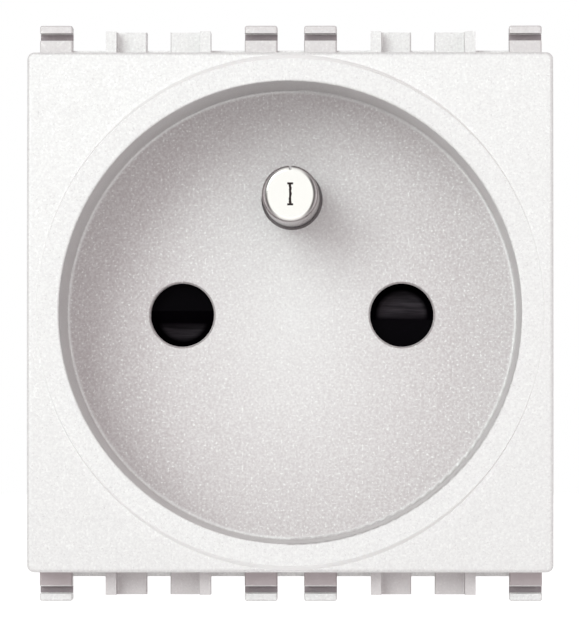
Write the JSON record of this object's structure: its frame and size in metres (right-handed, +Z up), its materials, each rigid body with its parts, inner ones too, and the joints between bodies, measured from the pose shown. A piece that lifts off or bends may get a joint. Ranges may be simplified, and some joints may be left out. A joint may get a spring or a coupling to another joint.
{
  "type": "wall socket",
  "caption": "Square snap-in wall socket insert with a deep round well, an earth pin, shuttered pin entries and rear screw terminals.",
  "frame": {"origin": "on the axis of the round well, in the plane of the collar's rear shoulder and the stop lugs' rear faces, where the insert seats on its mounting frame", "axes": "+X to the right seen from the front, +Y into the wall (the face looks towards -Y), +Z up, towards the earth pin's side"},
  "size_m": [0.0444, 0.04, 0.049],
  "materials": {
    "white_cover": "pearl white moulding with a very fine speckle, satin",
    "grey_housing": "light grey moulding, fine spark texture",
    "carrier": "mid grey moulding, matt",
    "black_shutter": "black moulding, polished",
    "pivot_steel": "turned steel",
    "spring_steel": "drawn spring wire",
    "nickel_pin": "nickel plated, polished",
    "contact_brass": "rolled brass strip",
    "cage_steel": "zinc plated steel",
    "screw_steel": "zinc plated steel"
  },
  "bodies": {
    "insert": {"front_cover": "white_cover", "rear_housing": "grey_housing", "contact_carrier": "carrier", "shutter_pivot": "pivot_steel", "shutter_spring": "spring_steel", "earth_pin": "nickel_pin", "earth_strap": "contact_brass", "line_contact_left": "contact_brass", "contact_clip_left": "spring_steel", "line_contact_right": "contact_brass", "contact_clip_right": "spring_steel", "housing_screw_lower_left": "screw_steel", "housing_screw_upper_left": "screw_steel", "housing_screw_lower_right": "screw_steel", "housing_screw_upper_right": "screw_steel"},
    "shutter": {"shutter_rotor": "black_shutter"},
    "screw_left": {"terminal_screw_left": "screw_steel"},
    "cage_left": {"terminal_cage_left": "cage_steel"},
    "screw_earth": {"terminal_screw_earth": "screw_steel"},
    "cage_earth": {"terminal_cage_earth": "cage_steel"},
    "screw_right": {"terminal_screw_right": "screw_steel"},
    "cage_right": {"terminal_cage_right": "cage_steel"}
  },
  "joints": [
    {"name": "shutter_turn", "type": "hinge", "parent": "insert", "child": "shutter", "pos_m": [0, 0.012, 0], "axis": [0, 1, 0], "range_deg": [0, 42], "stiffness_Nm_per_rad": 0.0008, "springref_deg": -20.05, "deforming": ["shutter_spring"]},
    {"name": "screw_left_turn", "type": "hinge", "parent": "insert", "child": "screw_left", "pos_m": [-0.01, 0.029, -0.014], "axis": [0, -1, 0], "range_deg": [0, 1748.57]},
    {"name": "cage_left_rise", "type": "slide", "parent": "insert", "child": "cage_left", "axis": [0, 1, 0], "range_m": [0, 0.0034]},
    {"name": "screw_earth_turn", "type": "hinge", "parent": "insert", "child": "screw_earth", "pos_m": [0, 0.029, -0.014], "axis": [0, -1, 0], "range_deg": [0, 1748.57]},
    {"name": "cage_earth_rise", "type": "slide", "parent": "insert", "child": "cage_earth", "axis": [0, 1, 0], "range_m": [0, 0.0034]},
    {"name": "screw_right_turn", "type": "hinge", "parent": "insert", "child": "screw_right", "pos_m": [0.01, 0.029, -0.014], "axis": [0, -1, 0], "range_deg": [0, 1748.57]},
    {"name": "cage_right_rise", "type": "slide", "parent": "insert", "child": "cage_right", "axis": [0, 1, 0], "range_m": [0, 0.0034]}
  ],
  "couplings": [
    {"joint": "screw_left_turn", "follows": "cage_left_rise", "rad_per_m": 8976},
    {"joint": "screw_earth_turn", "follows": "cage_earth_rise", "rad_per_m": 8976},
    {"joint": "screw_right_turn", "follows": "cage_right_rise", "rad_per_m": 8976}
  ]
}
